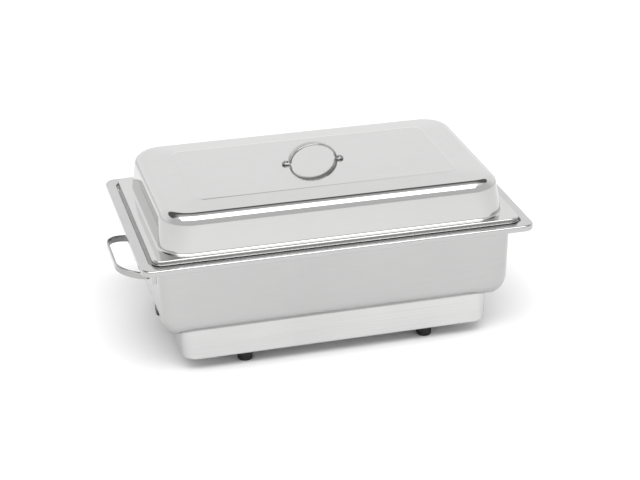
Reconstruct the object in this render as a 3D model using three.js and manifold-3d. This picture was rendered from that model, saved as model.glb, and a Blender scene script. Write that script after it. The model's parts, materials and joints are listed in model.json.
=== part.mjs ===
// Electric chafing dish for one full-size gastronorm food pan.
// Millimetres, +Z up. The origin is on the table, under the middle of the dish.
// X runs along the long side, from end handle to end handle, and Y from front to back.
import * as THREE from 'three';
import { mergeVertices } from 'three/addons/utils/BufferGeometryUtils.js';
import Module from 'manifold-3d';

const wasm = await Module();
wasm.setup();

// Driving dimensions
const gap = 0.3; // left between pieces that touch
const sheet = 1; // sheet metal of basin, pan, lid and housing
const panLength = 530; // gastronorm 1/1 rim
const panWidth = 325;
const panDepth = 65;
const flangeTop = 182; // height of the basin's rim above the table
const flangeHalf = [282.5, 178.5];
const flangeCorner = 16;
const hemDrop = 9; // height of the flange's turned-down edge
const recessHalf = [268.5, 165.5];
const recessDrop = 5; // how far the pan's seat lies below the flange
const pegPlace = [-266, -171.5]; // short peg under the flange's front left corner
const pegFoot = 161;
const tubHalf = [257, 155];
const tubCorner = 22;
const tubDraft = 3.5; // the walls lean in by this much from rim to floor
const tubFloor = 58; // underside of the basin
const tubFillet = 36;
const housingHalf = [226, 137.5];
const housingCorner = 22;
const housingFoot = 19; // underside of the housing
const housingLip = 10; // width of the lip that carries the base plate
const footTop = 20;
const footPlace = [134.5, 113];
const controlHeight = 42; // centre line of knob, lamp and inlet
const lidRimTop = 188.5;
const domeHalf = [250, 152.5];
const domeCorner = 42;
const domeDraft = 6.5;
const domeEdge = 242.2; // height of the dome's top edge
const domeFillet = 16;
const panelHalf = [190.5, 96];
const panelCorner = 14;
const panelTop = 245.8;
const lidHandleTop = 275;

// Materials
const finish = {
  mirrorSteel: { color: 0xd6d7d8, roughness: 0.08, metalness: 1 },
  satinSteel: { color: 0xc6c7c8, roughness: 0.25, metalness: 1 },
  brushedSteel: { color: 0xcccdce, roughness: 0.35, metalness: 1 },
  zincSteel: { color: 0xb4b6b8, roughness: 0.45, metalness: 1 },
  aluminium: { color: 0xc0c2c4, roughness: 0.5, metalness: 1 },
  darkSteel: { color: 0x5a5b5c, roughness: 0.5, metalness: 1 },
  brass: { color: 0xc2a458, roughness: 0.35, metalness: 1 },
  copper: { color: 0xb8714c, roughness: 0.35, metalness: 1 },
  blackPlastic: { color: 0x141414, roughness: 0.45, metalness: 0 },
  blackRubber: { color: 0x101010, roughness: 0.8, metalness: 0 },
  ceramic: { color: 0xece6da, roughness: 0.6, metalness: 0 },
  mineralWool: { color: 0xd8cfae, roughness: 1, metalness: 0 },
  amberLens: { color: 0xd9661a, roughness: 0.2, metalness: 0 },
  blueInsulation: { color: 0x2a57a8, roughness: 0.6, metalness: 0 },
  brownInsulation: { color: 0x6b4226, roughness: 0.6, metalness: 0 },
  greenInsulation: { color: 0x6f9c34, roughness: 0.6, metalness: 0 },
};

const dish = new THREE.Group();

function add(name, geometry, look, position = [0, 0, 0], rotation = [0, 0, 0]) {
  const mesh = new THREE.Mesh(geometry, new THREE.MeshStandardMaterial(look));
  mesh.name = name;
  mesh.position.set(...position);
  mesh.rotation.set(...rotation);
  dish.add(mesh);
  return mesh;
}

// Solids for cutting and joining
function solid(geometry) {
  const bare = geometry.index ? geometry.toNonIndexed() : geometry.clone();
  bare.deleteAttribute('normal');
  bare.deleteAttribute('uv');
  const merged = mergeVertices(bare, 1e-4);
  const vertProperties = new Float32Array(merged.attributes.position.array);
  const triVerts = new Uint32Array(merged.index.array);
  return new wasm.Manifold(new wasm.Mesh({ numProp: 3, vertProperties, triVerts }));
}

function geometryOf(body) {
  const mesh = body.getMesh();
  const geometry = new THREE.BufferGeometry();
  geometry.setAttribute('position', new THREE.BufferAttribute(mesh.vertProperties.slice(), 3));
  geometry.setIndex(new THREE.BufferAttribute(mesh.triVerts.slice(), 1));
  return geometry;
}

function join(...bodies) {
  return bodies.reduce((whole, body) => whole.add(body));
}

function cut(body, ...tools) {
  return tools.reduce((rest, tool) => rest.subtract(tool), body);
}

// Outlines and simple bodies
function roundedOutline([halfX, halfY], radius) {
  const outline = new THREE.Shape();
  const quarter = Math.PI / 2;
  outline.absarc(halfX - radius, halfY - radius, radius, 0, quarter);
  outline.absarc(radius - halfX, halfY - radius, radius, quarter, 2 * quarter);
  outline.absarc(radius - halfX, radius - halfY, radius, 2 * quarter, 3 * quarter);
  outline.absarc(halfX - radius, radius - halfY, radius, 3 * quarter, 4 * quarter);
  outline.closePath();
  return outline;
}

function slab(outline, low, high, curveSegments = 3) {
  const settings = { depth: high - low, bevelEnabled: false, curveSegments };
  return new THREE.ExtrudeGeometry(outline, settings).translate(0, 0, low);
}

function block(half, radius, low, high, curveSegments = 3) {
  return solid(slab(roundedOutline(half, radius), low, high, curveSegments));
}

function box(sizeX, sizeY, sizeZ, x, y, z) {
  return solid(new THREE.BoxGeometry(sizeX, sizeY, sizeZ).translate(x, y, z));
}

// Joins rings of equally many points, lowest ring first, and closes both ends.
function loft(rings) {
  const count = rings[0].length;
  const index = [];
  for (let level = 1; level < rings.length; level += 1) {
    for (let i = 0; i < count; i += 1) {
      const low = (level - 1) * count + i;
      const lowNext = (level - 1) * count + ((i + 1) % count);
      index.push(low, lowNext, lowNext + count, low, lowNext + count, low + count);
    }
  }
  const top = (rings.length - 1) * count;
  for (let i = 1; i < count - 1; i += 1) {
    index.push(0, i + 1, i, top, top + i, top + i + 1);
  }
  return new THREE.BufferGeometry().setFromPoints(rings.flat()).setIndex(index);
}

function roundedRing(half, corner, z) {
  const points = roundedOutline(half, corner).getPoints(3).map(({ x, y }) => new THREE.Vector3(x, y, z));
  return points.slice(0, -1);
}

// A block whose edge is rounded at both ends; callers cut away the end that stays square.
function pillow(half, corner, low, high, fillet, segments = 4) {
  const lower = [];
  const upper = [];
  for (let i = 0; i <= segments; i += 1) {
    const angle = (i * Math.PI) / (2 * segments);
    const inset = fillet * (1 - Math.sin(angle));
    const rise = fillet * (1 - Math.cos(angle));
    const size = [grown(half, -inset), Math.max(corner - inset, 1)];
    lower.push(roundedRing(...size, low + rise));
    upper.unshift(roundedRing(...size, high - rise));
  }
  return loft([...lower, ...upper]);
}

// Leans the walls in towards the level where full is 1.
function lean(geometry, draft, square, full) {
  const position = geometry.attributes.position;
  for (let i = 0; i < position.count; i += 1) {
    const share = (position.getZ(i) - square) / (full - square);
    const shift = draft * share;
    position.setX(i, position.getX(i) - Math.sign(position.getX(i)) * shift);
    position.setY(i, position.getY(i) - Math.sign(position.getY(i)) * shift);
  }
  return geometry;
}

function grown([halfX, halfY], by) {
  return [halfX + by, halfY + by];
}

// Turned bodies: the profile is [radius, height] pairs, round the Z axis
function turned(profile, segments = 12) {
  const points = profile.map(([radius, height]) => new THREE.Vector2(radius, height));
  return new THREE.LatheGeometry(points, segments).rotateX(Math.PI / 2);
}

function rod(radius, low, high, segments = 12) {
  return turned([[0, low], [radius, low], [radius, high], [0, high]], segments);
}

function ring(inner, outer, low, high, segments = 12) {
  return turned([[inner, low], [outer, low], [outer, high], [inner, high], [inner, low]], segments);
}

function hexagonNut(acrossFlats, bore, low, high) {
  const radius = acrossFlats / Math.sqrt(3);
  const corners = [];
  for (let i = 0; i < 6; i += 1) {
    const angle = (i * Math.PI) / 3;
    corners.push(new THREE.Vector2(radius * Math.cos(angle), radius * Math.sin(angle)));
  }
  const outline = new THREE.Shape(corners);
  const hole = new THREE.Path();
  hole.absarc(0, 0, bore, 0, 2 * Math.PI, true);
  outline.holes.push(hole);
  return slab(outline, low, high, 6);
}

// A screw along Z: domed head from headLow up, shank from tip to the head
function screw(headRadius, headHeight, headLow, shankRadius, tip, segments = 12) {
  const crown = headLow + headHeight;
  return turned([
    [0, tip],
    [shankRadius, tip],
    [shankRadius, headLow],
    [headRadius, headLow],
    [headRadius, headLow + headHeight * 0.4],
    [headRadius * 0.6, crown],
    [0, crown],
  ], segments);
}

function fourCorners([x, y]) {
  return [[-x, -y], [x, -y], [-x, y], [x, y]];
}

const cornerNames = ['front_left', 'front_right', 'rear_left', 'rear_right'];

// Drawn sheet tubs with a rounded floor: water basin and food pan
const basinTub = {
  half: tubHalf, corner: tubCorner, fillet: tubFillet, draft: tubDraft, rim: flangeTop, floor: tubFloor,
};
const seatHeight = flangeTop - recessDrop;
const panRimTop = flangeTop + sheet;
const panTub = {
  half: [252, 149],
  corner: 44,
  fillet: 18,
  draft: 10,
  rim: panRimTop,
  floor: panRimTop - panDepth,
};

// The tub grown or shrunk by offset on every side, and cut off square at top
function tub({ half, corner, fillet, draft, rim, floor }, offset, top) {
  const bottom = floor - offset;
  const round = fillet + offset;
  const upright = pillow(grown(half, offset), corner + offset, bottom, top + fillet + 5, round);
  const body = lean(upright, draft, rim, floor);
  return cut(solid(body), box(800, 600, 200, 0, 0, top + 100));
}

// A flat rim with its edge turned down
function rimPlate(half, corner, low, top) {
  const inside = block(grown(half, -sheet), corner - sheet, low - 1, top - sheet);
  return cut(block(half, corner, low, top), inside);
}

const handleHeight = 126.5; // where the end handles meet the basin wall
const handleRivetY = 50;
const handleRivetHole = 2.8;

function acrossX(radius, y, z) {
  return solid(rod(radius, -400, 400, 12).rotateY(Math.PI / 2).translate(0, y, z));
}

function buildBasin() {
  const recessCorner = 17;
  const flange = rimPlate(flangeHalf, flangeCorner, flangeTop - hemDrop, flangeTop);
  const seat = block(grown(recessHalf, sheet), recessCorner + sheet, seatHeight - sheet, flangeTop);
  const recess = block(recessHalf, recessCorner, seatHeight, flangeTop + 5);
  const outside = join(flange, seat, tub(basinTub, 0, seatHeight));
  const inside = tub(basinTub, -sheet, flangeTop + 5);
  const rivetHoles = [-handleRivetY, handleRivetY].map((y) => acrossX(handleRivetHole, y, handleHeight));
  add('water_basin', geometryOf(cut(outside, recess, inside, ...rivetHoles)), finish.satinSteel);
}

// A short peg welded under one corner of the flange
function buildFlangePeg() {
  const radius = 3.2;
  const edge = 0.6;
  const weld = flangeTop - sheet - gap;
  const profile = [
    [0, pegFoot], [radius - edge, pegFoot], [radius, pegFoot + edge], [radius, weld], [0, weld],
  ];
  add('flange_peg', turned(profile), finish.satinSteel, [...pegPlace, 0]);
}

const rimCorner = 14;

function buildPan() {
  const half = [panLength / 2, panWidth / 2];
  const rim = rimPlate(half, rimCorner, seatHeight + gap, panRimTop);
  const outside = join(rim, tub(panTub, 0, panRimTop));
  add('food_pan', geometryOf(cut(outside, tub(panTub, -sheet, panRimTop + 5))), finish.satinSteel);
}

// The lid: rim, drawn dome and a raised panel that carries the handle
const panelUnder = panelTop - sheet;
const rivetX = 40.5;
const lidRivetHole = 2.4;

function dome(offset, base) {
  const low = base - domeFillet - 20;
  const half = grown(domeHalf, offset);
  const body = pillow(half, domeCorner + offset, low, domeEdge + offset, domeFillet + offset);
  return cut(solid(lean(body, domeDraft, lidRimTop, domeEdge)), box(800, 600, 200, 0, 0, base - 100));
}

function panelBlock(offset) {
  const bevel = 2;
  const half = grown(panelHalf, offset);
  const body = pillow(half, panelCorner + offset, domeEdge - 8, panelTop + offset, bevel, 2);
  return cut(solid(body), box(800, 600, 40, 0, 0, domeEdge - 4 - 20));
}

function rivetHolesAlongZ(low, high) {
  return [-rivetX, rivetX].map((x) => solid(rod(lidRivetHole, low, high).translate(x, 0, 0)));
}

function buildLid() {
  const half = [panLength / 2, panWidth / 2];
  const rim = rimPlate(half, rimCorner, panRimTop + gap, lidRimTop);
  const outside = join(rim, dome(0, lidRimTop - sheet / 2), panelBlock(0));
  const inside = join(dome(-sheet, lidRimTop - 10), panelBlock(-sheet));
  const rivetHoles = rivetHolesAlongZ(panelUnder - 5, panelTop + 5);
  add('lid_shell', geometryOf(cut(outside, inside, ...rivetHoles)), finish.mirrorSteel);
}

function buildLidHandle() {
  const foot = panelTop + gap;
  const thick = 3;
  const width = 12;
  const footEnd = 46;
  const outerX = 36;
  const innerX = 32.6;
  const arch = new THREE.Shape();
  arch.moveTo(-footEnd, foot);
  arch.lineTo(-innerX, foot);
  arch.absellipse(0, foot, innerX, lidHandleTop - thick - gap - foot, Math.PI, 0, true);
  arch.lineTo(footEnd, foot);
  arch.lineTo(footEnd, foot + thick);
  arch.lineTo(outerX, foot + thick);
  arch.absellipse(0, foot + thick, outerX, lidHandleTop - foot - thick, 0, Math.PI, false);
  arch.lineTo(-footEnd, foot + thick);
  arch.closePath();
  const strap = solid(slab(arch, -width / 2, width / 2, 8).rotateX(Math.PI / 2));
  const holes = rivetHolesAlongZ(foot - 5, foot + 8);
  add('lid_handle', geometryOf(cut(strap, ...holes)), finish.mirrorSteel);

  const washer = panelUnder - gap;
  const head = foot + thick + gap;
  const profile = [
    [0, washer - 1.4], [3.6, washer - 1.4], [3.6, washer], [2.1, washer], [2.1, head],
    [4.2, head], [3.9, head + 0.9], [2.2, head + 1.7], [0, head + 1.9],
  ];
  add('lid_handle_rivet_left', turned(profile), finish.mirrorSteel, [-rivetX, 0, 0]);
  add('lid_handle_rivet_right', turned(profile), finish.mirrorSteel, [rivetX, 0, 0]);
}

// End handles: one strap bent to a loop that slopes up, with its ends turned in along the wall
const wallX = tubHalf[0] - 1;
const strapThick = 3;

function strapLoop() {
  const half = 70.5; // outside of the loop, across
  const reach = 46;
  const bend = 35;
  const footBend = 6;
  const footEnd = 38;
  const right = Math.PI / 2;
  const loop = new THREE.Shape();
  loop.moveTo(0, -footEnd);
  loop.absarc(footBend, footBend - half, footBend, 2 * right, 3 * right);
  loop.absarc(reach - bend, bend - half, bend, -right, 0);
  loop.absarc(reach - bend, half - bend, bend, 0, right);
  loop.absarc(footBend, half - footBend, footBend, right, 2 * right);
  loop.lineTo(0, footEnd);
  loop.lineTo(strapThick, footEnd);
  loop.absarc(footBend, half - footBend, footBend - strapThick, 2 * right, right, true);
  loop.absarc(reach - bend, half - bend, bend - strapThick, right, 0, true);
  loop.absarc(reach - bend, bend - half, bend - strapThick, 0, -right, true);
  loop.absarc(footBend, footBend - half, footBend - strapThick, 3 * right, 2 * right, true);
  loop.lineTo(strapThick, -footEnd);
  loop.closePath();
  return loop;
}

function buildEndHandles() {
  const height = 10;
  const slope = Math.tan(THREE.MathUtils.degToRad(11));
  const bow = slab(strapLoop(), -height / 2, height / 2);
  bow.applyMatrix4(new THREE.Matrix4().makeShear(0, slope, 0, 0, 0, 0));
  bow.translate(wallX + gap, 0, handleHeight);
  const holes = [-handleRivetY, handleRivetY].map((y) => acrossX(handleRivetHole, y, handleHeight));
  const handle = geometryOf(cut(solid(bow), ...holes));

  // Each rivet runs along X from its set tail inside the basin to its domed head outside.
  const tail = wallX - 1.6 - gap;
  const head = wallX + strapThick + 2 * gap;
  const rivet = turned([
    [0, tail - 1.6], [3.8, tail - 1.6], [3.8, tail], [2.4, tail], [2.4, head],
    [4.8, head], [4.4, head + 1.2], [2.4, head + 2.2], [0, head + 2.4],
  ]).rotateY(Math.PI / 2);
  for (const [side, turn] of [['left', Math.PI], ['right', 0]]) {
    add(`${side}_handle`, handle, finish.mirrorSteel, [0, 0, 0], [0, 0, turn]);
    for (const [end, y] of [['front', -handleRivetY], ['rear', handleRivetY]]) {
      add(`${side}_handle_rivet_${end}`, rivet, finish.satinSteel, [0, y, handleHeight], [0, 0, turn]);
    }
  }
}

// Heater housing under the basin, with its base plate and feet
const lampY = 36;
const inletX = -150;
const baseLow = footTop + gap;
const baseTop = baseLow + sheet;
const lipMiddle = housingLip / 2;
const baseScrewPlaces = fourCorners([180, housingHalf[1] - lipMiddle]);

function holesAlongZ(radius, places) {
  return places.map(([x, y]) => solid(rod(radius, -5, 30, 8).translate(x, y, 0)));
}

function buildHousing() {
  const edge = 3;
  const outer = solid(pillow(housingHalf, housingCorner, housingFoot, 120, edge, 2));
  const inner = block(grown(housingHalf, -sheet), housingCorner - sheet, housingFoot + sheet, 130);
  const mouthHalf = grown(housingHalf, -housingLip);
  const mouth = block(mouthHalf, housingCorner - housingLip, housingFoot - 1, housingFoot + 2);
  const spindleHole = solid(rod(5.3, -240, -210).rotateY(Math.PI / 2).translate(0, 0, controlHeight));
  const lampHole = solid(rod(4.4, -240, -210).rotateY(Math.PI / 2).translate(0, lampY, controlHeight));
  const inletHole = box(28.6, 10, 20.6, inletX, housingHalf[1], controlHeight);
  const basinRoom = tub(basinTub, gap + 0.1, seatHeight);
  const above = box(800, 600, 100, 0, 0, 130);
  const body = cut(outer, inner, mouth, above, basinRoom, spindleHole, lampHole, inletHole);
  add('heater_housing', geometryOf(cut(body, ...holesAlongZ(1.9, baseScrewPlaces))), finish.brushedSteel);
}

function slotOutline(length, width) {
  return roundedOutline([length / 2, width / 2], width / 2 - 0.01);
}

function buildBasePlate() {
  const plate = block(grown(housingHalf, -sheet - 0.6), housingCorner - sheet - 0.6, baseLow, baseTop);
  const slots = [];
  for (const x of [-186, 186]) {
    for (let y = -50; y <= 50; y += 20) {
      slots.push(solid(slab(slotOutline(40, 4), baseLow - 2, baseTop + 2, 1).translate(x, y, 0)));
    }
  }
  const feet = holesAlongZ(2.7, fourCorners(footPlace));
  const screws = holesAlongZ(1.9, baseScrewPlaces);
  add('base_plate', geometryOf(cut(plate, ...slots, ...feet, ...screws)), finish.zincSteel);

  const screwPiece = screw(3.6, 1.7, gap - housingFoot, 1.5, -25).rotateX(Math.PI);
  baseScrewPlaces.forEach(([x, y], i) => {
    add(`base_screw_${cornerNames[i]}`, screwPiece, finish.zincSteel, [x, y, 0]);
  });
}

function buildFeet() {
  const recess = 6;
  const profile = [
    [2.7, recess], [5.2, recess], [5.2, 0], [9.8, 0], [10.8, 1], [12.4, footTop - 1],
    [11.8, footTop], [2.7, footTop], [2.7, recess],
  ];
  const screwPiece = screw(4.6, 2.8, gap - recess, 2.4, -28).rotateX(Math.PI);
  fourCorners(footPlace).forEach(([x, y], i) => {
    add(`foot_${cornerNames[i]}`, turned(profile, 16), finish.blackRubber, [x, y, 0]);
    add(`foot_screw_${cornerNames[i]}`, screwPiece, finish.zincSteel, [x, y, 0]);
  });
}

// Heating element pressed against a spreader plate under the basin
const elementRadius = 3.2;
const elementHeight = tubFloor - 6.9;
const runs = [-60, -20, 20, 60];
const runEnd = 150;
const elementEnd = -165;
const clampX = 100;
const clampY = 40;
const clampPlaces = fourCorners([clampX, clampY]);
const studHoleRadius = 2.9;
const padThick = 12;

class TurnCurve extends THREE.Curve {
  constructor(centre, radius, side) {
    super();
    Object.assign(this, { centre, radius, side });
  }

  getPoint(t, target = new THREE.Vector3()) {
    const angle = Math.PI * (t - 0.5);
    const out = this.side * this.radius * Math.cos(angle);
    return target.set(this.centre.x + out, this.centre.y + this.radius * Math.sin(angle), this.centre.z);
  }
}

function elementPath() {
  const path = new THREE.CurvePath();
  const point = (x, y) => new THREE.Vector3(x, y, elementHeight);
  const turnRadius = (runs[1] - runs[0]) / 2;
  runs.forEach((y, i) => {
    const side = i % 2 === 0 ? 1 : -1;
    const from = i === 0 ? elementEnd : -side * runEnd;
    const to = i === runs.length - 1 ? elementEnd : side * runEnd;
    path.add(new THREE.LineCurve3(point(from, y), point(to, y)));
    if (i < runs.length - 1) path.add(new TurnCurve(point(side * runEnd, y + turnRadius), turnRadius, side));
  });
  return path;
}

function tube(path, radius, steps, sides = 8) {
  const section = new THREE.Shape();
  section.absarc(0, 0, radius, 0, 2 * Math.PI);
  return new THREE.ExtrudeGeometry(section, { steps, extrudePath: path, curveSegments: sides / 2 });
}

function buildHeater() {
  const plateTop = tubFloor - gap;
  const plateLow = plateTop - 3;
  const plate = block([160, 80], 10, plateLow, plateTop, 3);
  const studHole = rod(studHoleRadius, plateLow - 5, plateTop + 5, 8);
  const plateHoles = clampPlaces.map(([x, y]) => solid(studHole.clone().translate(x, y, 0)));
  add('heat_spreader', geometryOf(cut(plate, ...plateHoles)), finish.aluminium);
  add('heating_element', tube(elementPath(), elementRadius, 90, 6), finish.darkSteel);

  const barTop = elementHeight - elementRadius - gap;
  const barLow = barTop - 3;
  for (const [side, x] of [['left', -clampX], ['right', clampX]]) {
    const hole = rod(studHoleRadius, barLow - 5, barTop + 5, 8);
    const holes = [-clampY, clampY].map((y) => solid(hole.clone().translate(0, y, 0)));
    const bar = cut(block([8, 72], 4, barLow, barTop, 2), ...holes);
    add(`element_clamp_${side}`, geometryOf(bar), finish.zincSteel, [x, 0, 0]);
  }
  const nut = hexagonNut(8, 1, barLow - gap - 4, barLow - gap);
  const stud = geometryOf(join(solid(rod(2.5, 38, plateTop, 10)), solid(nut)));
  clampPlaces.forEach(([x, y], i) => {
    add(`heater_stud_${cornerNames[i]}`, stud, finish.zincSteel, [x, y, 0]);
  });

  const terminalProfile = [
    [0, 165.3], [2.9, 165.3], [2.9, 172], [1.3, 172], [1.3, 180], [0, 180],
  ];
  const terminal = turned(terminalProfile, 10).rotateY(-Math.PI / 2);
  add('element_terminal_front', terminal, finish.ceramic, [0, runs[0], elementHeight]);
  add('element_terminal_rear', terminal, finish.ceramic, [0, runs[3], elementHeight]);

  const cutout = join(
    solid(rod(8, 45, plateLow - gap, 16)),
    box(34, 10, 1, 0, 0, plateLow - gap - 0.5),
    box(1, 6, 6, -4, 0, 43),
    box(1, 6, 6, 4, 0, 43),
  );
  add('thermal_cutout', geometryOf(cutout), finish.zincSteel, [40, 0, 0]);
  const pad = slab(roundedOutline([150, 85], 8), baseTop + gap, baseTop + padThick, 2);
  add('insulation_pad', pad, finish.mineralWool);
}

// Controls on the left end; the profile heights below are distances out from the middle
function leftward(geometry, y = 0) {
  return geometry.rotateY(-Math.PI / 2).translate(0, y, controlHeight);
}

const wallOut = housingHalf[0];
const thermostatY = 19;

function buildThermostat() {
  const body = join(
    box(34, 2 * thermostatY, 28, -204, 0, controlHeight - 2),
    solid(leftward(rod(4.9, 215, wallOut + 4, 16))),
  );
  const bore = solid(leftward(rod(3.4, 213, wallOut + 8, 16)));
  add('thermostat_body', geometryOf(cut(body, bore)), finish.blackPlastic);
  add('thermostat_nut', leftward(hexagonNut(13, 5.2, wallOut + 1.7, wallOut + 3.8)), finish.brass);
  add('dial_plate', leftward(ring(5.3, 15.4, wallOut + gap, wallOut + 1.3, 24)), finish.brushedSteel);
  add('thermostat_spindle', leftward(rod(3, 213.4, wallOut + 13.4, 14)), finish.brass);

  const skirtLow = wallOut + 1.7;
  const knobEnd = wallOut + 16;
  const profile = [
    [0, knobEnd - 2.3], [3.4, knobEnd - 2.3], [3.4, skirtLow + 2.9], [9.5, skirtLow + 2.9], [9.5, skirtLow],
    [14.6, skirtLow], [13.8, skirtLow + 2.6], [11, skirtLow + 3.8], [11, knobEnd - 1],
    [10, knobEnd], [0, knobEnd],
  ];
  const flutes = [];
  const fluteCount = 12;
  const fluteReach = 11.7;
  for (let i = 0; i < fluteCount; i += 1) {
    const angle = (2 * Math.PI * (i + 0.5)) / fluteCount;
    const flute = rod(1.2, skirtLow + 5, knobEnd + 2, 6);
    flutes.push(solid(flute.translate(fluteReach * Math.cos(angle), fluteReach * Math.sin(angle), 0)));
  }
  const pointer = box(3.4, 1.6, 2, 12.6, 0, skirtLow + 2.4);
  const knob = cut(join(solid(turned(profile, 24)), pointer), ...flutes);
  add('thermostat_knob', leftward(geometryOf(knob)), finish.blackPlastic);

  const lampProfile = [
    [0, 208], [4.1, 208], [4.1, wallOut + gap], [6.2, wallOut + gap], [6.2, wallOut + 1.8],
    [0, wallOut + 1.8],
  ];
  const lens = wallOut + 1.8 + gap;
  const lensProfile = [[0, lens], [4.6, lens], [4.2, lens + 1.8], [2.5, lens + 3], [0, lens + 3.4]];
  add('pilot_lamp', leftward(turned(lampProfile), lampY), finish.blackPlastic);
  add('pilot_lens', leftward(turned(lensProfile), lampY), finish.amberLens);
}

// Sensing bulb in its clips, and the capillary to the thermostat
const bulbY = 100;
const bulbHeight = 54.3;

function route(points, radius, steps, sides) {
  const curve = new THREE.CatmullRomCurve3(points.map((point) => new THREE.Vector3(...point)));
  return tube(curve, radius, steps, sides);
}

function buildSensor() {
  const bulb = rod(3, -40, 40, 12).rotateY(Math.PI / 2).translate(0, bulbY, bulbHeight);
  add('sensing_bulb', bulb, finish.copper);
  const clip = cut(box(20, 9.4, 7.6, 0, bulbY, bulbHeight - 0.4), box(22, 7, 8, 0, bulbY, bulbHeight + 0.7));
  add('bulb_clip', geometryOf(clip), finish.zincSteel);
  const capillary = [
    [-40.4, bulbY, bulbHeight], [-60, bulbY, bulbHeight], [-120, 102, 53], [-180, 96, 50], [-206, 60, 48],
    [-206, thermostatY + 0.5, 46],
  ];
  add('capillary', route(capillary, 0.9, 28, 6), finish.copper);
}

// Mains inlet in the rear wall
function rearward(geometry, x = inletX) {
  return geometry.rotateX(-Math.PI / 2).translate(x, 0, controlHeight);
}

function buildInlet() {
  const wall = housingHalf[1];
  const flange = slab(roundedOutline([25, 12], 4), wall + gap, wall + 2.8, 3);
  const body = slab(roundedOutline([14, 10], 2), 117, wall + 1, 2);
  const cavity = slab(roundedOutline([12.2, 8.2], 2), 121, wall + 5, 2);
  const socket = cut(join(solid(flange), solid(body)), solid(cavity));
  add('mains_inlet', rearward(geometryOf(socket)), finish.blackPlastic);
  // The three blades stand on one moulded carrier at the bottom of the socket.
  const pins = [[0, 3.5], [-7, -2.5], [7, -2.5]].map(([x, y]) => box(2, 4, 13.5, x, y, 128.2));
  add('inlet_pins', rearward(geometryOf(join(box(20, 12, 1.5, 0, 0, 122.1), ...pins))), finish.brass);
}

function buildWiring() {
  const wireRadius = 1.4;
  const inletBack = 116.4;
  const thermostatSide = thermostatY + 0.6;
  const terminalEnd = -180.6;
  const live = [
    [inletX - 7, inletBack, 40], [inletX - 7.5, 110, 39], [-175, 92, 33], [-205, 60, 32],
    [-206, 28, 32.6], [-206, thermostatSide, 33],
  ];
  const switched = [
    [-200, -thermostatSide, 40], [-200, -28, 40.5], [-202, -45, 44], [-198, -58, 49],
    [-190, runs[0] - 1, elementHeight - 0.2], [terminalEnd, runs[0], elementHeight],
  ];
  const neutral = [
    [inletX + 7, inletBack, 42], [inletX + 6.5, 110, 42], [-160, 96, 43], [-184, 80, 45], [-197, 68, 49],
    [-190, runs[3] + 0.6, elementHeight - 0.1], [terminalEnd, runs[3], elementHeight],
  ];
  const earth = [
    [inletX, inletBack, 36], [inletX + 0.5, 110, 35.4], [-138, 100, 31], [-112, 99.8, 29.2],
    [-103.4, 100, 29],
  ];
  add('wire_live', route(live, wireRadius, 20), finish.brownInsulation);
  add('wire_switched', route(switched, wireRadius, 14), finish.brownInsulation);
  add('wire_neutral', route(neutral, wireRadius, 24), finish.blueInsulation);
  add('wire_earth', route(earth, wireRadius, 16), finish.greenInsulation);
  const stud = [
    [0, baseTop + gap], [4, baseTop + gap], [4, baseTop + 3], [2, baseTop + 3], [2, baseTop + 12],
    [0, baseTop + 12],
  ];
  add('earth_stud', turned(stud, 12), finish.brass, [-100, 100, 0]);
}

buildBasin();
buildFlangePeg();
buildPan();
buildLid();
buildLidHandle();
buildEndHandles();
buildHousing();
buildBasePlate();
buildFeet();
buildHeater();
buildThermostat();
buildSensor();
buildInlet();
buildWiring();

export default dish;
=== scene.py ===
import json
import math

import bpy
from mathutils import Matrix, Vector


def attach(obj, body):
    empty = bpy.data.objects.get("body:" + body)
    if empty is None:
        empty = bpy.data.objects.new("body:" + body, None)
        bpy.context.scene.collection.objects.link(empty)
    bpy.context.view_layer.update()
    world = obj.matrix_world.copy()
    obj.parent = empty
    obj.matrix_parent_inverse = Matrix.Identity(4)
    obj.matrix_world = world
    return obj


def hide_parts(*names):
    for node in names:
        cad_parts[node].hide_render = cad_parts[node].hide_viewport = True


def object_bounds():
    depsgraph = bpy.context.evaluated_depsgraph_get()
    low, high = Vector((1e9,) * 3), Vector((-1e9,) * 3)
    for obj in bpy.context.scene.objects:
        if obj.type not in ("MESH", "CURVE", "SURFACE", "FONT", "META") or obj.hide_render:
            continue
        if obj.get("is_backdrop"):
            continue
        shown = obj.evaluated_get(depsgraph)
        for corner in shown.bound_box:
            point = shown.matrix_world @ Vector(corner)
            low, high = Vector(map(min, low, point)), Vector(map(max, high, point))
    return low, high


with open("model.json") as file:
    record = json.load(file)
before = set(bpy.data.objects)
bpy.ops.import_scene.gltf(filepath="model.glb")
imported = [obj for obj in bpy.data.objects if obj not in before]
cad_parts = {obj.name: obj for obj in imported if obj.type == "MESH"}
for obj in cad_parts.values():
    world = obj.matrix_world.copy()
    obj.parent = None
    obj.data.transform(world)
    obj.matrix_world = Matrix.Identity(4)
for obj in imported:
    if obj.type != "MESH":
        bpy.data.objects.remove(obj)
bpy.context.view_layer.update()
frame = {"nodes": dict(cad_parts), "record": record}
mm = 0.001
print("frame: loaded", len(frame["nodes"]), "nodes")


class Wire:  # a socket that takes part in Python sums
    def __init__(self, kit, socket):
        self.kit = kit
        self.socket = socket

    def sum(self, operation, *values):
        return self.kit.node("ShaderNodeMath", {"operation": operation}, dict(enumerate(values)))

    def __add__(self, other):
        return self.sum("ADD", self, other)

    def __sub__(self, other):
        return self.sum("SUBTRACT", self, other)

    def __rsub__(self, other):
        return self.sum("SUBTRACT", other, self)

    def __mul__(self, other):
        return self.sum("MULTIPLY", self, other)

    __radd__ = __add__
    __rmul__ = __mul__

    def between(self, low, high):  # 0 below low, 1 above high
        values = {"Value": self, "From Min": low, "From Max": high}
        return self.kit.node("ShaderNodeMapRange", {"interpolation_type": "SMOOTHSTEP"}, values)


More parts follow.
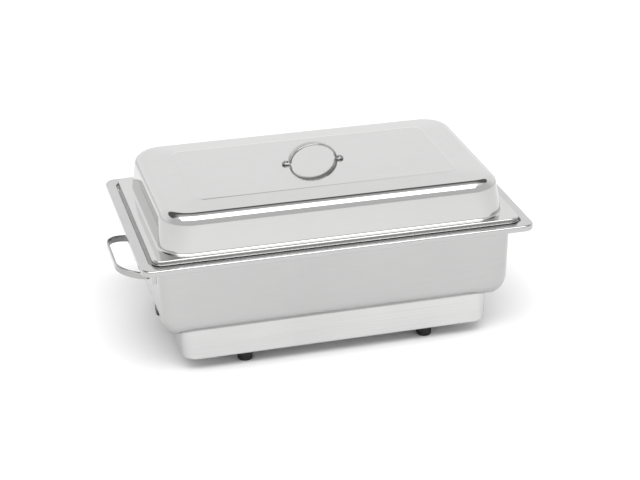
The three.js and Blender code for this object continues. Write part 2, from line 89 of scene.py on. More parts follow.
class Nodes:  # fills one node tree
    def __init__(self, tree):
        self.tree = tree

    def node(self, kind, settings=None, values=None, out=0):
        made = self.tree.nodes.new(kind)
        for name, value in (settings or {}).items():
            setattr(made, name, value)
        self.feed(made, values or {})
        return Wire(self, made.outputs[out])

    def feed(self, made, values):
        for name, value in values.items():
            if isinstance(value, Wire):
                self.tree.links.new(value.socket, made.inputs[name])
            else:
                made.inputs[name].default_value = value


class Finish(Nodes):  # one material
    def __init__(self, name, steady):
        self.material = bpy.data.materials.new(name)
        self.material.use_nodes = True
        super().__init__(self.material.node_tree)
        self.surface = self.tree.nodes["Principled BSDF"]
        self.feed(self.surface, steady)
        self.place = self.node("ShaderNodeTexCoord", out="Object")

    def noise(self, scale, detail=2.0, stretch=(1, 1, 1)):
        moved = self.node("ShaderNodeMapping", {}, {"Vector": self.place, "Scale": stretch})
        return self.node("ShaderNodeTexNoise", {}, {"Vector": moved, "Scale": scale, "Detail": detail})

    def colour(self, low, high, factor):
        values = {0: factor, 6: (*low, 1), 7: (*high, 1)}
        self.feed(self.surface, {"Base Color": self.node("ShaderNodeMix", {"data_type": "RGBA"}, values, 2)})

    def roughness(self, value):
        self.feed(self.surface, {"Roughness": value})

    def bump(self, height, distance):
        values = {"Height": height, "Distance": distance, "Strength": 1.0}
        self.feed(self.surface, {"Normal": self.node("ShaderNodeBump", {}, values)})


def makeSteel(name, dark, light, rough, spread, grain, wave, lines):  # wave and lines are bump depths in metres
    finish = Finish(name, {"Metallic": 1.0})
    haze = finish.noise(7, 3)
    hair = finish.noise(1, 2, grain)
    finish.colour(dark, light, haze * 0.5 + hair * 0.5)
    finish.roughness(rough + spread * hair + 0.02 * haze)
    finish.bump(haze * wave + hair * lines, 1.0)
    return finish.material


def makeMoulded(name, dark, light, rough, grain, depth, steady):  # grain is per metre, depth in metres
    finish = Finish(name, steady)
    speckle = finish.noise(grain, 3)
    cloud = finish.noise(40, 2)
    finish.colour(dark, light, cloud)
    finish.roughness(rough + 0.12 * speckle)
    finish.bump(speckle, depth)
    return finish.material


def makeStriped(name, ground, stripe):  # earth wire: a second colour runs along it
    finish = Finish(name, {})
    band = finish.noise(1, 0, (900, 900, 60)).between(0.5, 0.54)
    finish.colour(ground, stripe, band)
    finish.roughness(0.45 + 0.1 * finish.noise(300))
    return finish.material


materials = {
    "mirror_steel": makeSteel("mirror steel", (0.485, 0.485, 0.482), (0.535, 0.535, 0.532), 0.035, 0.03,
                              (40, 40, 220), 0.00008, 0.0000006),
    "satin_steel": makeSteel("satin steel", (0.41, 0.41, 0.408), (0.49, 0.49, 0.488), 0.11, 0.06,
                             (25, 25, 400), 0.00003, 0.0000008),
    "brushed_steel": makeSteel("brushed steel", (0.47, 0.47, 0.47), (0.68, 0.68, 0.675), 0.24, 0.14,
                               (5, 5, 800), 0.00003, 0.00001),
    "zinc_steel": makeSteel("zinc plate", (0.46, 0.47, 0.49), (0.58, 0.58, 0.57), 0.3, 0.12,
                            (300, 300, 300), 0.00002, 0.000008),
    "aluminium_plate": makeSteel("rolled aluminium", (0.68, 0.69, 0.70), (0.78, 0.78, 0.78), 0.38, 0.12,
                                 (900, 8, 8), 0.00002, 0.00001),
    "element_sheath": makeSteel("heated sheath", (0.10, 0.09, 0.085), (0.22, 0.19, 0.17), 0.45, 0.15,
                                (90, 90, 90), 0.00002, 0.00002),
    "brass": makeSteel("turned brass", (0.66, 0.47, 0.20), (0.80, 0.62, 0.30), 0.25, 0.1,
                       (600, 600, 60), 0.00001, 0.000004),
    "copper": makeSteel("drawn copper", (0.62, 0.28, 0.18), (0.78, 0.42, 0.28), 0.3, 0.1,
                        (300, 300, 300), 0.00001, 0.000004),
    "black_rubber": makeMoulded("foot rubber", (0.012, 0.012, 0.012), (0.024, 0.023, 0.022), 0.62, 900, 0.00005,
                                {"Specular IOR Level": 0.35}),
    "black_plastic": makeMoulded("knob plastic", (0.014, 0.014, 0.015), (0.024, 0.024, 0.025), 0.32, 1400,
                                 0.00002, {}),
    "ceramic": makeMoulded("terminal ceramic", (0.74, 0.70, 0.62), (0.84, 0.81, 0.74), 0.25, 500, 0.00002, {}),
    "mineral_wool": makeMoulded("mineral fibre", (0.44, 0.38, 0.22), (0.68, 0.62, 0.44), 0.85, 420, 0.0006, {}),
    "amber_lens": makeMoulded("amber lens", (0.75, 0.24, 0.02), (0.90, 0.36, 0.05), 0.08, 700, 0.00002,
                              {"Coat Weight": 0.6}),
    "brown_insulation": makeMoulded("brown sleeve", (0.12, 0.05, 0.02), (0.18, 0.08, 0.04), 0.4, 500,
                                    0.00002, {}),
    "blue_insulation": makeMoulded("blue sleeve", (0.02, 0.08, 0.42), (0.04, 0.12, 0.55), 0.4, 500,
                                   0.00002, {}),
    "green_insulation": makeStriped("earth sleeve", (0.03, 0.30, 0.06), (0.85, 0.72, 0.05)),
}
# the handles and lid rivets get a darker copy of the mirror steel: painted shade that stands in for the dark
# reflections and outlines on the straps
paintedShadeHandleSteel = makeSteel("handle steel", (0.30, 0.30, 0.298), (0.44, 0.44, 0.438), 0.05, 0.05,
                        (60, 60, 60), 0.00005, 0.000002)
whiteInk = makeMoulded("white ink", (0.72, 0.72, 0.70), (0.82, 0.82, 0.80), 0.45, 900, 0.00001, {})
blackInk = makeMoulded("dial ink", (0.015, 0.015, 0.015), (0.03, 0.03, 0.03), 0.45, 900, 0.00001, {})

for subpart in frame["record"]["subparts"]:
    slots = frame["nodes"][subpart["node"]].data.materials
    slots.clear()
    slots.append(materials[subpart["material_slot"]])
print("finishes:", len(bpy.data.materials))


sharpAngle = math.radians(38)  # edges that bend more than this show as edges
arcStep = 6  # degrees between the lines of a sheet's fillets
beside = 0.4  # mm from a fillet's end to the line that keeps the flat beside it flat


# An outline, anticlockwise from above, with a point beside each end of a corner's arc
def roundedLoop(halfX, halfY, corner, z, steps=14):
    corner = max(corner, 0.8)
    points = []
    for turn, (sideX, sideY) in enumerate([(1, 1), (-1, 1), (-1, -1), (1, -1)]):
        middle = Vector((sideX * (halfX - corner), sideY * (halfY - corner), z))
        angles = [math.pi / 2 * (turn + step / steps) for step in range(steps + 1)]
        arc = [middle + corner * Vector((math.cos(a), math.sin(a), 0)) for a in angles]
        along = [Vector((-math.sin(a), math.cos(a), 0)) for a in (angles[0], angles[-1])]
        points += [arc[0] - along[0], *arc, arc[-1] + along[1]]
    return points


# Rounds the corners of a 2D path, and gives each point with its right-hand normal and the corner it comes from
def softened(path, radii, step):
    rows = []
    for i, point in enumerate(path):
        ahead = (path[i + 1] - point).normalized() if i + 1 < len(path) else None
        behind = (point - path[i - 1]).normalized() if i else ahead
        ahead = ahead or behind
        first = Vector((behind.y, -behind.x))
        last = Vector((ahead.y, -ahead.x))
        bend = math.atan2(behind.x * ahead.y - behind.y * ahead.x, behind.dot(ahead))
        if radii[i] <= 0 or abs(bend) < 0.01:
            rows.append((point, (first + last).normalized(), i))
            continue
        reach = radii[i] * math.tan(abs(bend) / 2)
        start = point - behind * reach
        side = 1 if bend > 0 else -1
        middle = start - side * radii[i] * first
        count = max(3, math.ceil(math.degrees(abs(bend)) / step))
        rows.append((start - behind * beside, first, i))
        for k in range(count + 1):
            turned = bend * k / count
            normal = Vector((first.x * math.cos(turned) - first.y * math.sin(turned),
                             first.x * math.sin(turned) + first.y * math.cos(turned)))
            rows.append((middle + side * radii[i] * normal, normal, i))
        rows.append((point + ahead * (reach + beside), last, i))
    return rows


def addPiece(name, points, faces, material):
    mesh = bpy.data.meshes.new(name)
    mesh.from_pydata([tuple(p * mm for p in point) for point in points], [], faces)
    mesh.materials.append(material)
    mesh.shade_smooth()
    mesh.set_sharp_from_angle(angle=sharpAngle)
    mesh.update()
    piece = bpy.data.objects.new(name, mesh)
    bpy.context.scene.collection.objects.link(piece)
    return piece


def settle(piece, body, slot, *nodes):
    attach(piece, body)
    if nodes:
        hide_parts(*nodes)
    return piece


def band(low, high, count):  # quads between two loops of points
    return [(low + k, low + (k + 1) % count, high + (k + 1) % count, high + k) for k in range(count)]


def prism(low, high):  # a closed solid between two loops of points
    count = len(low)
    return low + high, band(0, count, count) + [list(reversed(range(count))), list(range(count, 2 * count))]


def drawnSheet(name, stations, thickness, material, capped=True, trim=None, place=None):
    # stations: half length, half width, corner, height, fillet; the face looks to the right of the way they run
    rows = softened([Vector((s[0], s[3])) for s in stations], [s[4] for s in stations], arcStep)
    faceLoops, backLoops = [], []
    for point, normal, i in rows:
        halfX, halfY, corner = stations[i][0], stations[i][1], stations[i][2]
        inset = halfX - point.x
        faceLoops.append(roundedLoop(point.x, halfY - inset, corner - inset, point.y))
        inset += thickness * normal.x
        height = point.y - thickness * normal.y
        backLoops.append(roundedLoop(halfX - inset, halfY - inset, corner - inset, height))
    count = len(faceLoops[0])
    total = len(rows)
    points = [p for loop in faceLoops + backLoops for p in loop]
    faces = []
    for i in range(total - 1):
        faces += band(i * count, (i + 1) * count, count)
        faces += [face[::-1] for face in band((total + i) * count, (total + i + 1) * count, count)]
    faces += band(total * count, 0, count)
    if capped:
        top = list(range((total - 1) * count, total * count))
        faces += [top, [i + total * count for i in reversed(top)]]
    else:
        faces += band((total - 1) * count, (2 * total - 1) * count, count)
    if trim:
        points = [Vector((p.x, p.y, min(p.z, trim(p.x, p.y)))) for p in points]
    if place:
        points = [place @ p for p in points]
    return addPiece(name, points, faces, material)


# A round piece from its profile of radius and height, which runs from foot to top or is closed
def turnedPoints(profile, edge, steps, shape=None):
    closed = profile[0] == profile[-1]
    path = [Vector(p) for p in profile]
    radii = [0.0] * len(path)
    for i in range(1, len(path) - 1):
        room = min((path[i] - path[i - 1]).length, (path[i + 1] - path[i]).length)
        radii[i] = min(edge, 0.35 * room)
    rows = []
    for i, point in enumerate(path):
        if radii[i] <= 0:
            rows.append(point)
            continue
        behind = (point - path[i - 1]).normalized()
        ahead = (path[i + 1] - point).normalized()
        for t in (0, 0.25, 0.5, 0.75, 1):
            rows.append(point - behind * radii[i] * (1 - t) ** 2 + ahead * radii[i] * t ** 2)
    if closed:
        rows.pop()
    points, starts = [], []
    for row in rows:
        starts.append(len(points))
        if row.x < 0.001:
            points.append(Vector((0, 0, row.y)))
            continue
        for k in range(steps):
            angle = 2 * math.pi * k / steps
            radius = row.x * (shape(angle, row.x, row.y) if shape else 1)
            points.append(Vector((radius * math.cos(angle), radius * math.sin(angle), row.y)))
    faces = []
    pairs = list(zip(range(len(rows)), list(range(1, len(rows))) + ([0] if closed else [])))
    for a, b in pairs:
        low, high = starts[a], starts[b]
        if rows[a].x < 0.001:
            faces += [(low, high + (k + 1) % steps, high + k) for k in range(steps)]
        elif rows[b].x < 0.001:
            faces += [(low + k, low + (k + 1) % steps, high) for k in range(steps)]
        else:
            faces += band(low, high, steps)
    return points, faces


def bentStrap(path, across, width, thick, edge):  # a flat strap with round ends, swept along a path
    corners = [(1, 1), (-1, 1), (-1, -1), (1, -1)]
    points, faces = [], []
    lengths = [0.0]
    for a, b in zip(path, path[1:]):
        lengths.append(lengths[-1] + (b - a).length)
    for i, point in enumerate(path):
        before, after = path[max(i - 1, 0)], path[min(i + 1, len(path) - 1)]
        normal = (after - before).cross(across).normalized()
        nearest = min(lengths[i], lengths[-1] - lengths[i])
        half = width / 2
        if nearest < half:
            half = math.sqrt(max(half ** 2 - (half - nearest) ** 2, (0.12 * half) ** 2))
        for turn, (sideN, sideA) in enumerate(corners):
            for k in range(5):
                angle = math.pi / 2 * (turn + k / 4)
                flat = sideN * (thick / 2 - edge) + edge * math.cos(angle)
                wide = sideA * max(half - edge, 0.05) + edge * math.sin(angle)
                points.append(point + normal * flat + across * wide)
    count = 20
    for i in range(len(path) - 1):
        faces += band(i * count, (i + 1) * count, count)
    last = (len(path) - 1) * count
    faces += [list(reversed(range(count))), list(range(last, last + count))]
    return points, faces


def densePath(points, radii, step, spread):  # 2D corners rounded, then filled in along the straights
    rows = [row[0] for row in softened([Vector(p) for p in points], radii, step)]
    filled = [rows[0]]
    for a, b in zip(rows, rows[1:]):
        count = max(1, round((b - a).length / spread))
        filled += [a.lerp(b, (k + 1) / count) for k in range(count)]
    return filled


def startTree(name, sockets):  # a tree with named inputs; gives its kit and the inputs as wires
    tree = bpy.data.node_groups.new(name, "GeometryNodeTree")
    sockets = {"Geometry": "Geometry", "Source": "Object", **sockets, "Finish": "Material"}
    for label, kind in sockets.items():
        tree.interface.new_socket(name=label, in_out="INPUT", socket_type="NodeSocket" + kind)
    tree.interface.new_socket(name="Geometry", in_out="OUTPUT", socket_type="NodeSocketGeometry")
    kit = Nodes(tree)
    given = tree.nodes.new("NodeGroupInput")
    return kit, {label: Wire(kit, given.outputs[label]) for label in sockets}


# Puts the source on the points, makes the copies real and gives them their finish
def finishTree(kit, asked, points, turn):
    source = kit.node("GeometryNodeObjectInfo", {}, {"Object": asked["Source"]}, "Geometry")
    copies = kit.node("GeometryNodeInstanceOnPoints", {}, {"Points": points, "Instance": source, **turn})
    solid = kit.node("GeometryNodeRealizeInstances", {}, {"Geometry": copies})
    dressed = kit.node("GeometryNodeSetMaterial", {}, {"Geometry": solid, "Material": asked["Finish"]})
    kit.feed(kit.tree.nodes.new("NodeGroupOutput"), {"Geometry": dressed})
    return kit.tree


def buildRowTree():  # copies of one shape in rows and columns
    sizes = {"First Place": "Vector", "Count X": "Int", "Count Y": "Int", "Step X": "Float", "Step Y": "Float"}
    kit, asked = startTree("copies in rows", sizes)
    alongX = kit.node("ShaderNodeCombineXYZ", {}, {"X": asked["Step X"]})
    alongY = kit.node("ShaderNodeCombineXYZ", {}, {"Y": asked["Step Y"]})
    row = {"Count": asked["Count X"], "Start Location": asked["First Place"], "Offset": alongX}
    rows = kit.node("GeometryNodeMeshLine", {}, row)
    columns = kit.node("GeometryNodeMeshLine", {}, {"Count": asked["Count Y"], "Offset": alongY})
    net = kit.node("GeometryNodeInstanceOnPoints", {}, {"Points": rows, "Instance": columns})
    return finishTree(kit, asked, kit.node("GeometryNodeRealizeInstances", {}, {"Geometry": net}), {})


def buildRoundTree():  # copies of one shape turned about the Z axis
    sizes = {"Count": "Int", "First Angle": "Float", "Step Angle": "Float"}
    kit, asked = startTree("copies round a centre", sizes)
    line = kit.node("GeometryNodeMeshLine", {}, {"Count": asked["Count"], "Offset": (0, 0, 0)})
    angle = kit.node("GeometryNodeInputIndex") * asked["Step Angle"] + asked["First Angle"]
    return finishTree(kit, asked, line, {"Rotation": kit.node("ShaderNodeCombineXYZ", {}, {"Z": angle})})


rowTree = buildRowTree()
roundTree = buildRoundTree()


def repeat(name, tree, source, settings, place=None):  # runs a tree on a source piece and keeps the plain mesh
    host = bpy.data.objects.new(name, bpy.data.meshes.new(name))
    bpy.context.scene.collection.objects.link(host)
    modifier = host.modifiers.new("copies", "NODES")
    modifier.node_group = tree
    asked = {"Source": source, "Finish": source.data.materials[0], **settings}
    for item in tree.interface.items_tree:
        if item.in_out == "INPUT" and item.name in asked:
            modifier[item.identifier] = asked[item.name]
    ready = host.evaluated_get(bpy.context.evaluated_depsgraph_get())
    mesh = bpy.data.meshes.new_from_object(ready)
    bpy.data.objects.remove(host)
    bpy.data.objects.remove(source)
    if place:
        mesh.transform(place)
    mesh.name = name
    piece = bpy.data.objects.new(name, mesh)
    bpy.context.scene.collection.objects.link(piece)
    return piece


def carve(piece, cutter):  # takes one shape out of another
    cut = piece.modifiers.new("cut", "BOOLEAN")
    cut.object = cutter
    cut.operation = "DIFFERENCE"
    cut.solver = "EXACT"
    ready = piece.evaluated_get(bpy.context.evaluated_depsgraph_get())
    mesh = bpy.data.meshes.new_from_object(ready)
    piece.modifiers.remove(cut)
    piece.data = mesh
    mesh.shade_smooth()
    mesh.set_sharp_from_angle(angle=sharpAngle)
    bpy.data.objects.remove(cutter)
    return piece


def crossedHead(name, head, rise, shank, depth, material):  # screw, head up, with a cross recess
    half = 0.17 * head
    profile = [(0, -depth), (shank * 0.6, -depth), (shank, -depth + 1), (shank, 0), (head, 0),
               (head, 0.35 * rise), (0.75 * head, 0.85 * rise), (0.3 * head, rise), (0, rise)]
    piece = addPiece(name, *turnedPoints(profile, 0.5, 32), material)
    arm = 0.62 * head
    outline = [(half, half), (half, arm), (-half, arm), (-half, half), (-arm, half), (-arm, -half),
               (-half, -half), (-half, -arm), (half, -arm), (half, -half), (arm, -half), (arm, half)]
    taper = 0.55  # the recess's foot against its mouth
    low = [Vector((x * taper, y * taper, rise * 0.25)) for x, y in outline]
    high = [Vector((x, y, rise + 0.4)) for x, y in outline]
    return carve(piece, addPiece("recess", *prism(low, high), material))


basin = {
    "hem": (282.5, 178.5, 16, 173.2), "top": 182, "recess": (268.5, 165.5, 17), "seat": 177,
    "tub": (256, 154, 21), "foot": (252.5, 150.5, 21), "floor": 59, "fillet": 35, "middle": (150, 48, 0.8),
    "sheet": 1.0,
}
halfX, halfY, corner, low = basin["hem"]
hemTurn = 2.4  # the hem's edge turns in by this much
basinStations = [
    (halfX - hemTurn, halfY - hemTurn, corner - hemTurn, low, 0),
    (halfX, halfY, corner, low, 1.2),
    (halfX, halfY, corner, basin["top"], 2.4),
    (*basin["recess"], basin["top"], 1.3),
    (*basin["recess"], basin["seat"], 1.4),
    (*basin["tub"], basin["seat"], 2.5),
    (*basin["foot"], basin["floor"], basin["fillet"]),
    (*basin["middle"], basin["floor"], 0),
]
piece = drawnSheet("waterBasin", basinStations, basin["sheet"], materials["satin_steel"])
settle(piece, "dish", "satin_steel", "water_basin")

pan = {"rim": (265, 162.5, 14), "rimFoot": 177.6, "top": 183, "tub": (251, 148, 43), "foot": (241, 138, 43),
       "floor": 119, "middle": (150, 47, 0.8), "sheet": 0.8}
panStations = [
    (*pan["rim"], pan["rimFoot"], 0),
    (*pan["rim"], pan["top"], 1.3),
    (*pan["tub"], pan["top"], 5),
    (*pan["foot"], pan["floor"], 17),
    (*pan["middle"], pan["floor"], 0),
]
piece = drawnSheet("foodPan", panStations, pan["sheet"], materials["satin_steel"])
settle(piece, "pan", "satin_steel", "food_pan")

lid = {"rim": (265, 162.5, 14), "rimFoot": 183.5, "rimTop": 188.5, "wall": (250, 152.5, 42),
       "edge": (243.5, 146, 42), "edgeTop": 242.2, "fillet": 16, "step": (193.4, 98.9, 17), "stepTop": 245.3,
       "panel": (190.2, 95.7, 14), "panelTop": 245.8, "middle": (120, 25.5, 0.8), "sheet": 1.0}
lidStations = [
    (*lid["rim"], lid["rimFoot"], 0),
    (*lid["rim"], lid["rimTop"], 1.6),
    (*lid["wall"], lid["rimTop"], 3),
    (*lid["edge"], lid["edgeTop"], lid["fillet"]),
    (*lid["step"], lid["stepTop"], 6),
    (*lid["panel"], lid["panelTop"], 6),
    (*lid["middle"], lid["panelTop"], 0),
]
piece = drawnSheet("lidShell", lidStations, lid["sheet"], materials["mirror_steel"])
settle(piece, "lid", "mirror_steel", "lid_shell")

wallOut = 226
axisHeight = 42
inletX = -150
outwardLeft = Matrix(((0, 0, -1, 0), (0, 1, 0, 0), (1, 0, 0, axisHeight), (0, 0, 0, 1)))
lampPlace = Matrix.Translation((0, 36, 0)) @ outwardLeft
toRear = Matrix(((-1, 0, 0, inletX), (0, 0, 1, 0), (0, 1, 0, axisHeight), (0, 0, 0, 1)))
housing = {
    "half": (wallOut, 137.5, 22), "foot": 19, "lip": 10, "edge": 3, "top": 99, "sheet": 1.0, "clearance": 0.4,
    "spindleHole": 5.3, "lampHole": 4.4, "inletHole": (14.3, 10.3, 2),
}


def underBasin(x, y):  # height of the basin's underside, less the clearance
    sheet = basin["sheet"]
    radius = basin["fillet"] + sheet
    inset = sheet + min(basin["foot"][0] - abs(x), basin["foot"][1] - abs(y))
    drop = math.sqrt(max(radius ** 2 - max(radius - inset, 0) ** 2, 0))
    return basin["floor"] - sheet + radius - drop - housing["clearance"]


halfX, halfY, corner = housing["half"]
lip = housing["lip"]
housingStations = [
    (halfX - lip, halfY - lip, corner - lip, housing["foot"], 0),
    (halfX, halfY, corner, housing["foot"], housing["edge"]),
    (halfX, halfY, corner, housing["top"], 0),
]
brushed = materials["brushed_steel"]
piece = drawnSheet("heaterHousing", housingStations, housing["sheet"], brushed, False, underBasin)
for radius, place in ((housing["spindleHole"], outwardLeft), (housing["lampHole"], lampPlace)):
    points, faces = turnedPoints([(0, 215), (radius, 215), (radius, 235), (0, 235)], 0.01, 40)
    carve(piece, addPiece("hole", [place @ p for p in points], faces, brushed))
inner, outer = [[toRear @ p for p in roundedLoop(*housing["inletHole"], depth, 4)] for depth in (130, 145)]
carve(piece, addPiece("hole", *prism(inner, outer), brushed))
settle(piece, "dish", "brushed_steel", "heater_housing")
print("sheet metal: basin, pan, lid, housing")

lidHandle = {"foot": 247.6, "footEnd": 46, "halfWidth": 34.3, "rise": 25.9, "width": 12, "thick": 3,
             "bend": 2.6, "edge": 1.4, "rivet": 40.5}
arch = [(-lidHandle["footEnd"], lidHandle["foot"]), (-lidHandle["halfWidth"], lidHandle["foot"])]
archSteps = 48
for i in range(3, archSteps - 2):  # the first steps are left to the bend at the foot
    angle = math.pi - math.pi * i / archSteps
    x = lidHandle["halfWidth"] * math.cos(angle)
    arch.append((x, lidHandle["foot"] + lidHandle["rise"] * math.sin(angle)))
arch += [(-x, z) for x, z in reversed(arch[:2])]
radii = [0.0] * len(arch)
radii[1] = radii[-2] = lidHandle["bend"]
path = [Vector((p.x, 0, p.y)) for p in densePath(arch, radii, 10, 1.5)]
shape = bentStrap(path, Vector((0, 1, 0)), lidHandle["width"], lidHandle["thick"], lidHandle["edge"])
settle(addPiece("lidHandle", *shape, paintedShadeHandleSteel), "lid", "mirror_steel", "lid_handle")

rivetProfile = [(0, 241.7), (3.4, 241.7), (3.4, 242.9), (2.1, 243.1), (2.1, 249.3), (3.7, 249.3), (3.5, 250),
                (2.2, 250.9), (0, 251.2)]
rivet = addPiece("lidRivet", *turnedPoints(rivetProfile, 0.4, 32), paintedShadeHandleSteel)
rivetRow = {"First Place": (-lidHandle["rivet"] * mm, 0, 0), "Count X": 2, "Count Y": 1,
            "Step X": 2 * lidHandle["rivet"] * mm, "Step Y": 0.0}
settle(repeat("lidHandleRivets", rowTree, rivet, rivetRow), "lid", "mirror_steel",
       "lid_handle_rivet_left", "lid_handle_rivet_right")

endHandle = {"wall": 256.3, "height": 126.5, "half": 69, "reach": 44.5, "bend": 33.5, "footBend": 4.5,
             "footEnd": 38, "foot": 1.5, "tall": 10, "thick": 3, "edge": 0.9,
             "slope": math.tan(math.radians(11)), "rivetY": 50}
half, reach, foot = endHandle["half"], endHandle["reach"], endHandle["foot"]
loop = [(foot, -endHandle["footEnd"]), (foot, -half), (reach, -half), (reach, half), (foot, half),
        (foot, endHandle["footEnd"])]
radii = [0, endHandle["footBend"], endHandle["bend"], endHandle["bend"], endHandle["footBend"], 0]
for name, side in (("left", -1), ("right", 1)):
    path = []
    for p in densePath(loop, radii, 5, 1.6):
        height = endHandle["height"] + p.x * endHandle["slope"]
        path.append(Vector((side * (endHandle["wall"] + p.x), side * p.y, height)))
    shape = bentStrap(path, Vector((0, 0, 1)), endHandle["tall"], endHandle["thick"], endHandle["edge"])
    settle(addPiece(name + "EndHandle", *shape, paintedShadeHandleSteel), "dish", "mirror_steel", name + "_handle")

rivetProfile = [(0, 252.6), (3.8, 252.6), (3.8, 254.1), (2.4, 254.1), (2.4, 259.5), (4.7, 259.5), (4.4, 260.7),
                (2.4, 261.7), (0, 262)]
endRivet, rivetFaces = turnedPoints(rivetProfile, 0.4, 32)
toRight = Matrix(((0, 0, 1, 0), (0, 1, 0, 0), (-1, 0, 0, 0), (0, 0, 0, 1)))
toLeft = Matrix(((0, 0, -1, 0), (0, 1, 0, 0), (1, 0, 0, 0), (0, 0, 0, 1)))
lift = Matrix.Translation((0, -endHandle["rivetY"], endHandle["height"]))
points = [lift @ turn @ p for turn in (toRight, toLeft) for p in endRivet]
faces = rivetFaces + [tuple(i + len(endRivet) for i in face) for face in rivetFaces]
rivetPair = addPiece("rivetPair", points, faces, materials["satin_steel"])
rivetRow = {"First Place": (0, 0, 0), "Count X": 1, "Count Y": 2, "Step X": 0.0,
            "Step Y": 2 * endHandle["rivetY"] * mm}
settle(repeat("endHandleRivets", rowTree, rivetPair, rivetRow), "dish", "satin_steel",
       *[f"{side}_handle_rivet_{end}" for side in ("left", "right") for end in ("front", "rear")])

peg = {"place": (-266, -171.5, 0), "foot": 161, "top": 180.7, "radius": 3.2}
pegProfile = [(0, peg["foot"]), (peg["radius"], peg["foot"]), (peg["radius"], peg["top"]), (0, peg["top"])]
points, faces = turnedPoints(pegProfile, 0.6, 32)
points = [p + Vector(peg["place"]) for p in points]
settle(addPiece("flangePeg", points, faces, materials["satin_steel"]), "dish", "satin_steel", "flange_peg")
print("handles, rivets, peg")

cornerNames = ("front_left", "front_right", "rear_left", "rear_right")
feet = {"placeX": 134.5, "placeY": 113, "screwHead": 4.6, "screwHeight": 5.7}
baseScrews = {"placeX": 180, "placeY": 132.5, "screwHead": 3.6, "screwHeight": 18.7}
footProfile = [(2.7, 6), (5.2, 6), (5.2, 0), (9.8, 0), (10.8, 1), (11.2, 5.5), (10.9, 6), (10.9, 6.8),
               (11.3, 7.3), (12.4, 19), (11.8, 20), (2.7, 20), (2.7, 6)]
foot = addPiece("foot", *turnedPoints(footProfile, 0.5, 40), materials["black_rubber"])


def fourFold(placeX, placeY):
    return {"First Place": (-placeX * mm, -placeY * mm, 0), "Count X": 2, "Count Y": 2,
            "Step X": 2 * placeX * mm, "Step Y": 2 * placeY * mm}


settle(repeat("rubberFeet", rowTree, foot, fourFold(feet["placeX"], feet["placeY"])), "dish", "black_rubber",
       *["foot_" + name for name in cornerNames])

turnedOver = Matrix.Rotation(math.pi, 4, "X")
screw = crossedHead("footScrew", feet["screwHead"], 2.4, 2.4, 17, materials["zinc_steel"])
screw.data.transform(Matrix.Translation((0, 0, feet["screwHeight"] * mm)) @ turnedOver)
settle(repeat("footScrews", rowTree, screw, fourFold(feet["placeX"], feet["placeY"])), "dish", "zinc_steel",
       *["foot_screw_" + name for name in cornerNames])
screw = crossedHead("baseScrew", baseScrews["screwHead"], 1.5, 1.7, 6, materials["zinc_steel"])
screw.data.transform(Matrix.Translation((0, 0, baseScrews["screwHeight"] * mm)) @ turnedOver)
places = fourFold(baseScrews["placeX"], baseScrews["placeY"])
settle(repeat("baseScrews", rowTree, screw, places), "dish", "zinc_steel",
       *["base_screw_" + name for name in cornerNames])
print("feet and screws")

knob = {"skirt": 14.6, "grip": 11, "low": wallOut + 1.7, "end": wallOut + 16, "flutes": 12, "fluteDepth": 0.09,
        "fluteStart": 4.2}


def fluted(angle, radius, height):
    rise = height - knob["low"] - knob["fluteStart"]
    if rise < 0 or radius < 9:
        return 1
    wave = 0.5 - 0.5 * math.cos(knob["flutes"] * angle)
    return 1 - knob["fluteDepth"] * wave ** 3 * min(1, rise / 1.5)


skirt, grip, skirtLow, knobEnd = knob["skirt"], knob["grip"], knob["low"], knob["end"]
knobProfile = [(0, knobEnd - 2.3), (3.4, knobEnd - 2.3), (3.4, skirtLow + 2.9), (9.5, skirtLow + 2.9),
               (9.5, skirtLow), (skirt, skirtLow), (13.9, skirtLow + 2.6), (11.2, skirtLow + 3.8),
               (grip, skirtLow + 5.7), (grip, knobEnd - 2), (10.9, knobEnd - 0.9), (10, knobEnd),
               (8.2, knobEnd - 0.1), (7.6, knobEnd - 0.6), (0, knobEnd - 0.6)]
points, faces = turnedPoints(knobProfile, 0.35, 144, fluted)
piece = addPiece("thermostatKnob", [outwardLeft @ p for p in points], faces, materials["black_plastic"])
settle(piece, "knob", "black_plastic", "thermostat_knob")
outline = ((7.2, -0.55), (7.6, 0), (7.2, 0.55), (2.4, 0.4), (2.2, 0), (2.4, -0.4))
inner, outer = [[outwardLeft @ Vector((x, y, z)) for x, y in outline] for z in (knobEnd - 0.8, knobEnd - 0.45)]
piece = addPiece("knobPointer", *prism(inner, outer), whiteInk)
settle(piece, "knob", "black_plastic")

dial = {"inner": 5.3, "outer": 15.4, "low": wallOut + 0.3, "high": wallOut + 1.3, "ticks": 11, "sweep": 270}
dialProfile = [(dial["inner"], dial["low"]), (dial["outer"], dial["low"]), (dial["outer"], dial["high"]),
               (dial["inner"], dial["high"]), (dial["inner"], dial["low"])]
points, faces = turnedPoints(dialProfile, 0.25, 72)
piece = addPiece("dialPlate", [outwardLeft @ p for p in points], faces, materials["brushed_steel"])
settle(piece, "dish", "brushed_steel", "dial_plate")
outline = ((15.1, -0.2), (15.15, 0), (15.1, 0.2), (13.3, 0.2), (13.25, 0), (13.3, -0.2))
inner, outer = [[Vector((x, y, dial["high"] + z)) for x, y in outline] for z in (-0.05, 0.05)]
tickPiece = addPiece("tick", *prism(inner, outer), blackInk)
sweep = math.radians(dial["sweep"])
ticks = {"Count": dial["ticks"], "First Angle": -sweep / 2, "Step Angle": sweep / (dial["ticks"] - 1)}
inMetres = outwardLeft.copy()
inMetres.translation = Vector((0, 0, axisHeight * mm))
settle(repeat("dialTicks", roundTree, tickPiece, ticks, inMetres), "dish", "brushed_steel")

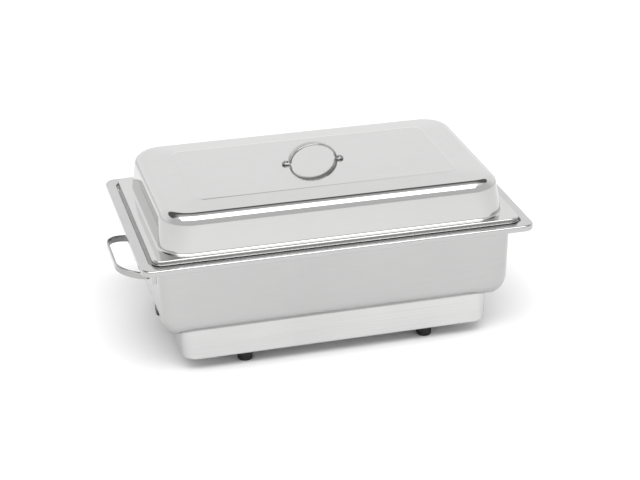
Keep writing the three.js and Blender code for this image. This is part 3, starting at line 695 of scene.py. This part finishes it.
pilotLamp = {
    "bezel": [(0, 208), (4.1, 208), (4.1, 226.3), (6.2, 226.3), (6.2, 227.4), (5.2, 227.8), (0, 227.8)],
    "lens": [(0, 228.1), (4.6, 228.1), (4.5, 229), (4.0, 230.1), (2.9, 230.9), (1.5, 231.35), (0, 231.5)],
}
points, faces = turnedPoints(pilotLamp["bezel"], 0.3, 40)
piece = addPiece("lampBezel", [lampPlace @ p for p in points], faces, materials["black_plastic"])
settle(piece, "dish", "black_plastic", "pilot_lamp")
points, faces = turnedPoints(pilotLamp["lens"], 0.5, 40)
piece = addPiece("lampLens", [lampPlace @ p for p in points], faces, materials["amber_lens"])
settle(piece, "dish", "amber_lens", "pilot_lens")

inlet = {"flange": (25, 12, 4), "cavity": (12.2, 8.2, 2), "back": 137.8, "front": 140.3, "deep": 121,
         "middle": (9, 5, 0.8), "wall": 1.2}
inletStations = [
    (*inlet["flange"], inlet["back"], 0),
    (*inlet["flange"], inlet["front"], 0.9),
    (*inlet["cavity"], inlet["front"], 0.6),
    (*inlet["cavity"], inlet["deep"], 0.8),
    (*inlet["middle"], inlet["deep"], 0),
]
piece = drawnSheet("mainsInlet", inletStations, inlet["wall"], materials["black_plastic"], place=toRear)
settle(piece, "dish", "black_plastic", "mains_inlet")
print("knob, dial, lamp, inlet")

view = {"place": (-0.5858, -2.4345, 1.2105), "tilt": 66.43, "turn": -17.18, "lens": 103.13, "shift": -0.1594}
camera = bpy.data.cameras.new("studio camera")
camera.sensor_width = 36
camera.lens = view["lens"]
camera.shift_x = view["shift"]
cameraPiece = bpy.data.objects.new("studioCamera", camera)
bpy.context.scene.collection.objects.link(cameraPiece)
cameraPiece.location = view["place"]
cameraPiece.rotation_euler = (math.radians(view["tilt"]), 0, math.radians(view["turn"]))
bpy.context.scene.camera = cameraPiece

edge = 15  # metres from the middle to the floor's edge
floorMesh = bpy.data.meshes.new("studioFloor")
corners = [(-edge, -edge, 0), (edge, -edge, 0), (edge, edge, 0), (-edge, edge, 0)]
floorMesh.from_pydata(corners, [], [(0, 1, 2, 3)])
floorFinish = Finish("pale floor", {"Roughness": 0.9, "Specular IOR Level": 0.1})
floorFinish.colour((0.925, 0.925, 0.925), (0.935, 0.935, 0.935), floorFinish.noise(3))
floorMesh.materials.append(floorFinish.material)
floorPiece = bpy.data.objects.new("studioFloor", floorMesh)
bpy.context.scene.collection.objects.link(floorPiece)
floorPiece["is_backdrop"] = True

studio = {"front": 0.85, "rear": 1.25, "high": 1.3, "dark": 0.16, "zenith": 0.72}
world = bpy.data.worlds.new("studio")
world.use_nodes = True
bpy.context.scene.world = world
kit = Nodes(world.node_tree)
direction = kit.node("ShaderNodeTexCoord", out="Generated")
height = kit.node("ShaderNodeSeparateXYZ", {}, {"Vector": direction}, "Z")
rearward = Wire(kit, height.socket.node.outputs["Y"])
rearness = rearward.between(-0.25, 0.5)
low = studio["front"] + (studio["rear"] - studio["front"]) * rearness
low = low + (studio["high"] - low) * height.between(0.7, 0.85)
dark = height.between(0.615, 0.66) * rearward.between(-0.1, 0.12)  # the unlit room above and behind
overhead = studio["dark"] + (studio["zenith"] - studio["dark"]) * height.between(0.82, 0.95)
kit.feed(world.node_tree.nodes["Background"], {"Strength": low * (1 - dark) + overhead * dark})
world.node_tree.nodes["Background"].inputs["Color"].default_value = (1, 1, 1, 1)
softbox = {"place": (-0.2, -1.3, 2.9), "aim": (0, -0.1, 0.15), "size": (3.4, 2.2), "power": 76}
lamp = bpy.data.lights.new("softbox", "AREA")
lamp.shape = "RECTANGLE"
lamp.size, lamp.size_y = softbox["size"]
lamp.energy = softbox["power"]
lampPiece = bpy.data.objects.new("softbox", lamp)
bpy.context.scene.collection.objects.link(lampPiece)
lampPiece.location = softbox["place"]
beam = Vector(softbox["aim"]) - Vector(softbox["place"])
lampPiece.rotation_euler = beam.to_track_quat("-Z", "Y").to_euler()
bpy.context.scene.view_settings.view_transform = "Standard"
print("studio: camera, floor, light")

low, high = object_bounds()
